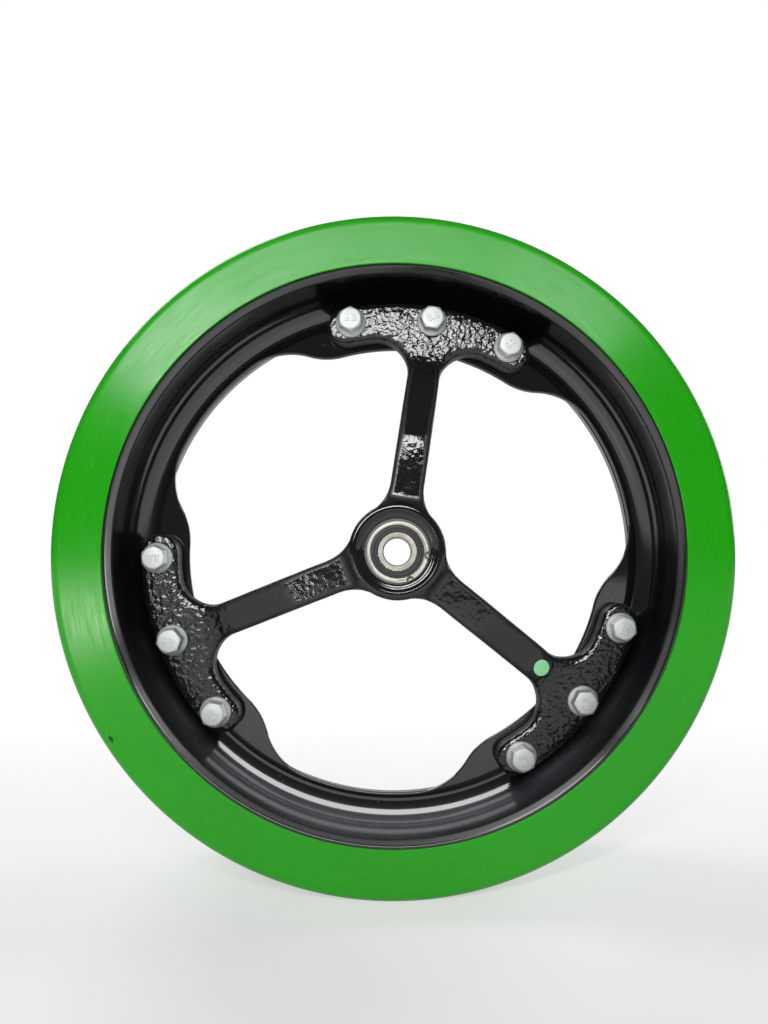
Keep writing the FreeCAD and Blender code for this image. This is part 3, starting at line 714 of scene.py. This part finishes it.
def press_rim(name, rim, tyre, clock, side, material):
    """Press the front half-rim, side -1, or the rear one, side 1."""
    angles = np.linspace(0, 2 * math.pi, RIM_STEPS, endpoint=False)
    edge = window_edge(rim, clock, angles)
    if side < 0:
        lip = (rim.front_inset, rim.lip_radius, rim.lip_flare)
    else:
        lip = (rim.rear_inset, rim.rear_lip_radius, 0.0)
        edge += REAR_WINDOW_MORE
    follow, fixed, cove_start = rim_section(rim, tyre, *lip)
    points = []
    for angle, start in zip(angles, edge):
        section = [(start + across, place) for across, place in follow]
        inner = section[-1][0]
        section += [(inner + (cove_start - inner) * share, -rim.web)
                    for share in (0.03, 0.3, 0.65, 0.96)]
        section += fixed
        section.append((start + 2 * (cove_start - start) / 3, -WEB_GAP))
        points.extend(polar(radius, angle, -side * place) for radius, place in section)
    faces = grid_faces(RIM_STEPS, len(points) // RIM_STEPS)
    return make_piece(name, points, faces, material, sharp=35)


class PressRims(bpy.types.Operator):
    """Press the two half-rims"""

    bl_idname = "depth_wheel.press_rims"
    bl_label = "Press the half-rims"

    def execute(self, context):
        scene = context.scene
        rim = scene.depth_wheel_rim
        clock = scene.depth_wheel_spider.clock
        paint = gloss_black_paint(rim)
        for name, node_name, side in (("front_rim", "front_rim_half", -1),
                                      ("rear_rim", "rear_rim_half", 1)):
            half = press_rim(name, rim, scene.depth_wheel_tyre, clock, side, paint)
            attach(half, "wheel")
            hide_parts(node_name)
        return {"FINISHED"}


# Cast three-spoke hub


def add_flare(shaper, angle):
    """Add the broad flare with which a spoke runs into the hub."""
    along, across = spoke_axes(angle)
    rows = []
    for reach, half, front in FLARE:
        flat = half - FLARE_CHAMFER_ACROSS
        low = front + FLARE_CHAMFER_DEEP
        corners = ((-half, low), (-flat, front), (flat, front), (half, low),
                   (half, FLARE_BACK), (-half, FLARE_BACK))
        rows.append([shaper.verts.new((along * reach + across * side + REARWARD * place) * MM)
                     for side, place in corners])
    shaper.faces.new(rows[0])
    shaper.faces.new(list(reversed(rows[-1])))
    for row, after in zip(rows, rows[1:]):
        for corner in range(6):
            beside = (corner + 1) % 6
            shaper.faces.new((row[beside], row[corner], after[corner], after[beside]))


def skin_of(source, name, facet, clock):
    """Copy a solid's mesh and give it an even skin of small facets, a little softened."""
    raw = link(bpy.data.objects.new(name, source.data.copy()))
    shaper = bmesh.new()
    shaper.from_mesh(raw.data)
    bmesh.ops.remove_doubles(shaper, verts=shaper.verts, dist=0.01 * MM)
    for spoke in range(SPOKES):
        add_flare(shaper, clock + spoke * THIRD)
    shaper.to_mesh(raw.data)
    shaper.free()
    skin = raw.modifiers.new("skin", "REMESH")
    skin.mode = "VOXEL"
    skin.voxel_size = facet
    soft = raw.modifiers.new("soft", "SMOOTH")
    soft.factor = 0.5
    soft.iterations = 6
    mesh = evaluated_mesh(raw)
    mesh.name = name
    return mesh


def ramp(values, start, end):
    """0 below the start, 1 beyond the end; both in millimetres."""
    return np.clip((values - start * MM) / ((end - start) * MM), 0.0, 1.0)


def band(values, start, full, fade, end):
    """Rise from 0 to 1 and fall back again."""
    return ramp(values, start, full) * (1 - ramp(values, fade, end))


def mesh_array(mesh, field):
    values = np.empty(len(mesh.vertices) * 3)
    mesh.vertices.foreach_get(field, values)
    return values.reshape(-1, 3)


def blend_corners(mesh):
    """Melt the spokes into the hub and the feet, as a mould's generous radii do."""
    spots = mesh_array(mesh, "co")
    reach = np.hypot(spots[:, 0], spots[:, 2])
    hub = 0.15 * band(reach, 26.5, 31, 34, 40)
    bend = 0.3 * band(reach, 60, 68, 84, 94)
    neck = 0.7 * band(reach, 112, 122, 138, 146)
    share = (np.maximum(np.maximum(hub, bend), neck) * ramp(-spots[:, 1], 9, 14))[:, None]
    edges = np.empty(len(mesh.edges) * 2, np.int64)
    mesh.edges.foreach_get("vertices", edges)
    first, second = edges.reshape(-1, 2).T
    degree = np.bincount(edges, minlength=len(spots)).astype(float)[:, None]
    for _ in range(BLEND_ROUNDS):
        total = np.empty_like(spots)
        for axis in range(3):
            total[:, axis] = (np.bincount(first, spots[second, axis], len(spots))
                              + np.bincount(second, spots[first, axis], len(spots)))
        spots += BLEND_PACE * share * (total / degree - spots)
    mesh.vertices.foreach_set("co", spots.ravel())
    mesh.update()


def cast_lumps(mesh, height):
    """Raise the lumps that the mould leaves, and note how rough and how worn each point is."""
    spots = mesh_array(mesh, "co")
    normals = mesh_array(mesh, "normal")
    reach = np.hypot(spots[:, 0], spots[:, 2])
    foot = ramp(reach, 112, 128)
    bore = ramp(reach, 28, 31)
    bend = band(reach, 54, 66, 92, 104)
    root = (1 - ramp(reach, 40, 54)) * (0.1 + 0.9 * ramp(-spots[:, 2], -5, 12))
    seat = ramp(-spots[:, 1], 6, 9)
    fine, wide = (np.array([noise.noise(spot * scale) for spot in map(Vector, spots)])
                  for scale in (FINE_LUMPS, WIDE_LUMPS))
    lumps = fine * (0.12 + 0.88 * foot + 0.5 * root) + wide * (0.35 + 0.4 * root)
    lift = height * lumps * bore * seat
    sidelong = np.abs(normals[:, 0] * spots[:, 2] - normals[:, 2] * spots[:, 0]) / reach
    tilted = np.clip((1 - np.abs(normals[:, 1]) - 0.003) / 0.017, 0.0, 1.0)
    inner = (1 - ramp(reach, 40, 48)) * tilted
    worn = np.maximum(np.clip((sidelong - 0.04) / 0.10, 0.0, 1.0), inner) * (1 - foot) * bore
    roughcast = (0.14 + 0.86 * foot + 0.3 * root + 0.34 * bend) * bore
    spots += normals * lift[:, None]
    mesh.vertices.foreach_set("co", spots.ravel())
    for name, values in (("roughcast", roughcast), ("worn_edge", worn)):
        attribute = mesh.attributes.new(name, "FLOAT", "POINT")
        attribute.data.foreach_set("value", values.astype(np.float32))
    mesh.update()


class CastSpider(bpy.types.Operator):
    """Cast the three-spoke hub"""

    bl_idname = "depth_wheel.cast_spider"
    bl_label = "Cast the three-spoke hub"

    def execute(self, context):
        settings = context.scene.depth_wheel_spider
        mesh = skin_of(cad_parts["spoke_hub"], "cast_spider", settings.skin, settings.clock)
        blend_corners(mesh)
        cast_lumps(mesh, settings.bump)
        black = black_casting(settings)
        mesh.materials.clear()
        mesh.materials.append(black)
        mesh.shade_smooth()
        spider = link(bpy.data.objects.new("cast_spider", mesh))
        seat = [(radius * MM, place * MM) for radius, place in SEAT_RING]
        ring = turned_piece("bearing_seat", seat, SEAT_STEPS, black, sharp=40)
        for piece in (spider, ring):
            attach(piece, "wheel")
        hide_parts("spoke_hub")
        return {"FINISHED"}


# Fasteners


def fixed_row(radius, height):
    """Row of a sweep that is the same at every angle."""
    return lambda angle: (radius, height)


def hexagon_rows(across, height, flange_radius, top_radius):
    """Rows of a flanged hexagon from the top's rim to the seat: functions of the angle."""
    sixth = math.pi / 3
    corner = across / 2 / math.cos(sixth / 2) - 0.12 * MM
    rim = 1.6 * MM
    slope = 1.3 * MM
    chamfer = math.tan(math.radians(30))

    def side(angle):
        swing = (angle + sixth / 2) % sixth - sixth / 2
        return min(across / 2 / math.cos(swing), corner)

    def chamfer_row(inset, lift):
        return lambda angle: (side(angle) - inset,
                              height - (side(angle) - top_radius) * chamfer + lift)

    def foot_row(outset, lift):
        return lambda angle: (
            side(angle) + outset,
            rim + slope * (flange_radius - side(angle)) / (flange_radius - across / 2) + lift)

    return [
        fixed_row(top_radius - 0.25 * MM, height),
        fixed_row(top_radius, height - 0.06 * MM),
        chamfer_row(0.12 * MM, 0.05 * MM),
        chamfer_row(0.0, -0.10 * MM),
        foot_row(0.0, 0.35 * MM),
        foot_row(0.25 * MM, 0.02 * MM),
        fixed_row(flange_radius - 0.9 * MM, rim + 0.36 * MM),
        fixed_row(flange_radius - 0.3 * MM, rim + 0.02 * MM),
        fixed_row(flange_radius, rim - 0.45 * MM),
        fixed_row(flange_radius, 0.35 * MM),
        fixed_row(flange_radius - 0.3 * MM, 0.0),
    ]


def swept_rows(rows, ring=False):
    """Points and faces of rows swept round a local Z axis, closed into a ring or by caps."""
    steps = FASTENER_STEPS
    points = []
    for row in rows:
        for angle in even_angles(steps):
            radius, height = row(angle)
            points.append((radius * math.cos(angle), radius * math.sin(angle), height))
    faces = grid_faces(len(rows), steps)
    if not ring:
        last = (len(rows) - 1) * steps
        faces[last:] = [tuple(range(steps)), tuple(range(last + steps - 1, last - 1, -1))]
    return points, faces


def threaded_rows(radius, start, end, pitch):
    """Rows of a thread between two heights, running out into a chamfer at its end."""
    depth = 0.61 * pitch
    rows_per_turn = 8
    count = int(abs(start - end) / pitch * rows_per_turn)

    def row(height):
        def at(angle):
            phase = (height / pitch + angle / (2 * math.pi)) % 1.0
            ridge = min(1.0, max(0.0, 2.6 * abs(phase - 0.5) - 0.2))
            tip = max(0.0, 1.0 - max(0.0, height - end) / MM)
            return radius - depth * max(ridge, 0.95 * tip), height
        return at

    return [row(start + (end - start) * step / count) for step in range(count + 1)]


def grade_mark(height):
    """Points and faces of the raised strength number, lying on the head's top."""
    curve = bpy.data.curves.new("grade_mark", "FONT")
    curve.body = "8.8"
    curve.size = 6.2 * MM
    curve.extrude = 0.40 * MM
    curve.bevel_depth = 0.12 * MM
    curve.align_x = curve.align_y = "CENTER"
    mesh = evaluated_mesh(link(bpy.data.objects.new("grade_mark", curve)))
    bpy.data.curves.remove(curve)
    shaper = bmesh.new()
    shaper.from_mesh(mesh)
    bmesh.ops.remove_doubles(shaper, verts=shaper.verts, dist=0.001 * MM)
    shaper.verts.index_update()
    points = [(v.co.x, v.co.y, v.co.z + height) for v in shaper.verts]
    faces = [tuple(v.index for v in f.verts) for f in shaper.faces]
    shaper.free()
    bpy.data.meshes.remove(mesh)
    return points, faces


def nine_copies(scene, part, seat, flip=False):
    """Copy a fastener to each place of the bolt circle, its top to the front or flipped."""
    points, faces = part
    settings = scene.depth_wheel_fasteners
    upright = Matrix.Rotation(math.radians(90), 4, "X")
    over = Matrix.Rotation(math.pi, 4, "X") if flip else Matrix.Identity(4)
    copies = []
    for index in range(SPOKES * BOLTS_PER_FOOT):
        spoke, place = divmod(index, BOLTS_PER_FOOT)
        angle = scene.depth_wheel_spider.clock + spoke * THIRD + (place - 1) * settings.step_angle
        spot = Vector(polar(settings.circle_radius, angle, seat))
        turn = Matrix.Rotation(index * settings.turn_step, 4, "Z")
        matrix = Matrix.Translation(spot) @ upright @ turn @ over
        copies.append(([matrix @ Vector(point) for point in points], faces))
    return join_parts(copies)


class FitBolts(bpy.types.Operator):
    """Fit the nine flange bolts"""

    bl_idname = "depth_wheel.fit_bolts"
    bl_label = "Fit the flange bolts"

    def execute(self, context):
        scene = context.scene
        settings = scene.depth_wheel_fasteners
        length = settings.shank_length
        rows = hexagon_rows(*BOLT_HEAD)
        rows += [fixed_row(BOLT_RADIUS, 0.0), fixed_row(BOLT_RADIUS, THREAD_LENGTH - length)]
        thread_start = THREAD_LENGTH + 0.2 * MM - length
        rows += threaded_rows(BOLT_RADIUS, thread_start, -length, settings.thread_pitch)
        part = join_parts([swept_rows(rows), grade_mark(BOLT_HEAD[1])])
        points, faces = nine_copies(scene, part, settings.head_seat)
        bolts = make_piece("zinc_bolts", points, faces, zinc_plate(settings), sharp=32)
        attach(bolts, "wheel")
        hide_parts("flange_bolts")
        return {"FINISHED"}


class FitNuts(bpy.types.Operator):
    """Fit the nine flange nuts"""

    bl_idname = "depth_wheel.fit_nuts"
    bl_label = "Fit the flange nuts"

    def execute(self, context):
        scene = context.scene
        settings = scene.depth_wheel_fasteners
        height = NUT_BODY[1]
        rows = [fixed_row(NUT_BORE, 0.6 * MM), fixed_row(NUT_BORE, height - 0.9 * MM),
                fixed_row(NUT_BORE + 0.9 * MM, height)]
        rows += hexagon_rows(*NUT_BODY)
        rows += [fixed_row(NUT_BORE + 0.6 * MM, 0.0)]
        points, faces = nine_copies(scene, swept_rows(rows, ring=True), settings.nut_seat, True)
        zinc = bpy.data.materials["zinc_plate"]
        nuts = make_piece("zinc_nuts", points, faces, zinc, sharp=32)
        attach(nuts, "wheel")
        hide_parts("flange_nuts")
        return {"FINISHED"}


# Bearing


def seal_section(outer, inside, outside):
    """Section of a rubber seal: a flat rim, a shallow groove and a raised lip."""
    inner = SEAL_INNER_RADIUS
    section = [(inner + (outer - inner) * across, inside + (outside - inside) * high)
               for across, high in SEAL_FACE]
    return section + [(outer, inside), (inner, inside)]


class SeatBearing(bpy.types.Operator):
    """Seat the bearing, its seals and its circlip"""

    bl_idname = "depth_wheel.seat_bearing"
    bl_label = "Seat the bearing"

    def execute(self, context):
        settings = context.scene.depth_wheel_bearing
        rubber = seal_rubber(settings)
        for finish, prefixes in (
                (bearing_steel(settings), ("bearing_", "front_ball_", "rear_ball_")),
                (spring_steel(), ("circlip",)),
                (cage_nylon(), ("front_cage", "rear_cage"))):
            for name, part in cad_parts.items():
                if name.startswith(prefixes):
                    part.data.materials.clear()
                    part.data.materials.append(finish)
        for name in ("front_seal", "rear_seal"):
            low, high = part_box(name)
            inside, outside = (high.y, low.y) if name == "front_seal" else (low.y, high.y)
            section = seal_section(high.x, inside, outside)
            seal = turned_piece(f"{name}_rubber", section, SEAL_STEPS, rubber, sharp=40)
            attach(seal, "wheel")
            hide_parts(name)
        return {"FINISHED"}


# Sticker


def disc_faces(rings, steps):
    """Faces of a closed thin disc: a top, the same under it, and a rim."""
    top = [(0, 1 + step, 1 + (step + 1) % steps) for step in range(steps)]
    for ring in range(rings - 1):
        start = 1 + ring * steps
        for step in range(steps):
            beside = (step + 1) % steps
            top.append((start + step, start + steps + step, start + steps + beside, start + beside))
    count = 1 + rings * steps
    under = [tuple(count + index for index in reversed(face)) for face in top]
    edge = range(count - steps, count)
    rim = [(here, count + here, count + beside, beside)
           for here, beside in zip(edge, (*edge[1:], edge[0]))]
    return top + under + rim


class StickLabel(bpy.types.Operator):
    """Stick the small inspection sticker on its spoke"""

    bl_idname = "depth_wheel.stick_label"
    bl_label = "Stick the sticker"

    def execute(self, context):
        settings = context.scene.depth_wheel_sticker
        spider = bpy.data.objects["cast_spider"].data
        tree = BVHTree.FromPolygons([v.co for v in spider.vertices],
                                    [p.vertices for p in spider.polygons])
        before_the_wheel = -0.08
        middle = Vector(polar(settings.reach, settings.angle, before_the_wheel))
        along, across = spoke_axes(settings.angle)
        rings = 8
        steps = 48
        top = []
        under = []
        for ring in range(rings + 1):
            reach = settings.radius * ring / rings
            for turn in even_angles(steps if ring else 1):
                start = (middle + along * (reach * math.cos(turn))
                         + across * (reach * math.sin(turn)))
                hit = tree.ray_cast(start, REARWARD)[0]
                if hit is None:
                    raise RuntimeError("the sticker misses the spoke")
                top.append(hit - REARWARD * (FILM_FACE if ring < rings else FILM_EDGE))
                under.append(hit + REARWARD * FILM_BACK)
        mint = sticker_film(settings)
        film = make_piece("round_sticker", top + under, disc_faces(rings, steps), mint, sharp=50)
        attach(film, "wheel")
        return {"FINISHED"}


# Stage


def lamp(level, distance, name, clock, tilt, along, across, radiance):
    """Flat lamp of an even brightness that faces the hub.

    It stands at a clock angle and a tilt from the wheel's axis, in degrees.
    Its length points to the axis, and its width runs round it.
    """
    lean = math.radians(tilt)
    light = bpy.data.lights.new(name, "AREA")
    light.shape = "RECTANGLE"
    light.size = across
    light.size_y = along
    light.energy = radiance * level * math.pi * along * across
    light.color = LAMP_COLOURS.get(name, WHITE[:3])
    outward = Vector(polar(1.0, math.radians(clock), 0.0))
    place = distance * (outward * math.sin(lean) - REARWARD * math.cos(lean))
    back = place.normalized()
    side = outward.cross(back).normalized()
    up = back.cross(side)
    holder = link(bpy.data.objects.new(name, light))
    holder.matrix_world = Matrix.Translation(place) @ Matrix((side, up, back)).transposed().to_4x4()
    return holder


def light_only(lamps, name, pieces, state="INCLUDE"):
    """Let lamps light only the named pieces, or all but these."""
    group = bpy.data.collections.new(name)
    for piece in pieces:
        group.objects.link(bpy.data.objects[piece])
    for member in group.collection_objects:
        member.light_linking.link_state = state
    for holder in lamps:
        holder.light_linking.receiver_collection = group


def pale_world(scene):
    """White background behind the wheel, and a dimmer room in front of it."""
    world = bpy.data.worlds.new("pale_room")
    world.use_nodes = True
    world.node_tree.nodes.clear()
    nodes = Nodes(world.node_tree)
    room = nodes.add("ShaderNodeBackground", WHITE, ROOM_FILL)[0]
    white = nodes.add("ShaderNodeBackground", WHITE, 1.0)[0]
    toward = nodes.split(nodes.add("ShaderNodeTexCoord")["Generated"])
    seen, mirrored = nodes.ray_kinds()
    behind = nodes.product(mirrored, nodes.spread(toward["Y"], 0.80, 0.90))
    share = nodes.math("MAXIMUM", behind, seen)
    nodes.add("ShaderNodeOutputWorld", nodes.add("ShaderNodeMixShader", share, room, white)[0])
    scene.world = world


def pale_floor(level, colour):
    """Large round floor under the tyre that fades into the white background."""
    finish = Finish("pale_floor", Base_Color=rgba(colour), Roughness=0.7, Specular_IOR_Level=0.2)
    where = finish.place()
    behind = finish.spread(finish.split(where)["Y"], -0.10, 0.40, 0.45, 1.0)
    far = finish.math("MAXIMUM", behind, finish.spread(finish.length(where), 0.5, 1.6))
    share = finish.product(far, finish.math("MAXIMUM", *finish.ray_kinds()))
    glow = finish.add("ShaderNodeEmission", WHITE, 1.0)[0]
    mixed = finish.add("ShaderNodeMixShader", share, finish.shader.outputs[0], glow)[0]
    finish.put(mixed, finish.tree.nodes["Material Output"].inputs["Surface"])
    mesh = bpy.data.meshes.new("pale_floor")
    shaper = bmesh.new()
    bmesh.ops.create_circle(shaper, cap_ends=True, radius=FLOOR_RADIUS, segments=96)
    shaper.to_mesh(mesh)
    shaper.free()
    mesh.materials.append(finish.material)
    floor = link(bpy.data.objects.new("pale_floor", mesh))
    floor.location = (0.0, 0.0, level)
    return floor


class LightStage(bpy.types.Operator):
    """Set up the floor, the lamps and the camera"""

    bl_idname = "depth_wheel.light_stage"
    bl_label = "Light the stage"

    def execute(self, context):
        scene = context.scene
        settings = scene.depth_wheel_stage
        scene.view_settings.view_transform = "Standard"
        pale_floor(CAD_BOX[0].z, settings.floor_colour)
        pale_world(scene)
        rims = ("front_rim", "rear_rim")
        turned = ("tyre_ring", "pale_floor")
        for table, name, pieces, state in (
                (TYRE_LAMPS, "turned", turned, "INCLUDE"),
                (RIM_LAMPS, "pressed", rims, "INCLUDE"),
                (CASTING_LAMPS, "cast_and_plated", turned + rims, "EXCLUDE")):
            lamps = [lamp(settings.lamp_level, LAMP_DISTANCE, *row) for row in table]
            light_only(lamps, name, pieces, state)
        for row in REAR_LAMPS:
            lamp(settings.lamp_level, REAR_LAMP_DISTANCE, *row)
        camera = link(bpy.data.objects.new("camera", bpy.data.cameras.new("camera")))
        camera.data.sensor_width = SENSOR_WIDTH
        camera.data.lens = settings.lens
        camera.data.shift_x, camera.data.shift_y = CAMERA_SHIFT
        camera.data.clip_start = 0.01
        camera.location = CAMERA_PLACE
        camera.rotation_euler = CAMERA_TURN
        scene.camera = camera
        return {"FINISHED"}


class DepthWheelPanel(bpy.types.Panel):
    """Lists the steps that dress the wheel"""

    bl_idname = "VIEW3D_PT_depth_wheel"
    bl_label = "Depth Wheel"
    bl_space_type = "VIEW_3D"
    bl_region_type = "UI"
    bl_category = "Depth Wheel"

    def draw(self, context):
        for operator in OPERATORS:
            self.layout.operator(operator.bl_idname)


SETTINGS = {
    "depth_wheel_tyre": TyreSettings,
    "depth_wheel_rim": RimSettings,
    "depth_wheel_spider": SpiderSettings,
    "depth_wheel_fasteners": FastenerSettings,
    "depth_wheel_bearing": BearingSettings,
    "depth_wheel_sticker": StickerSettings,
    "depth_wheel_stage": StageSettings,
}
OPERATORS = (TurnTyre, PressRims, CastSpider, FitBolts, FitNuts, SeatBearing, StickLabel,
             LightStage)
CLASSES = (*SETTINGS.values(), *OPERATORS, DepthWheelPanel)


def register():
    for item in CLASSES:
        bpy.utils.register_class(item)
    for name, group in SETTINGS.items():
        setattr(bpy.types.Scene, name, PointerProperty(type=group))


def unregister():
    for name in SETTINGS:
        delattr(bpy.types.Scene, name)
    for item in reversed(CLASSES):
        bpy.utils.unregister_class(item)


def main():
    register()
    bpy.ops.depth_wheel.turn_tyre()
    bpy.ops.depth_wheel.press_rims()
    bpy.ops.depth_wheel.cast_spider()
    bpy.ops.depth_wheel.fit_bolts()
    bpy.ops.depth_wheel.fit_nuts()
    bpy.ops.depth_wheel.seat_bearing()
    bpy.ops.depth_wheel.stick_label()
    bpy.ops.depth_wheel.light_stage()


if __name__ == "__main__":
    main()
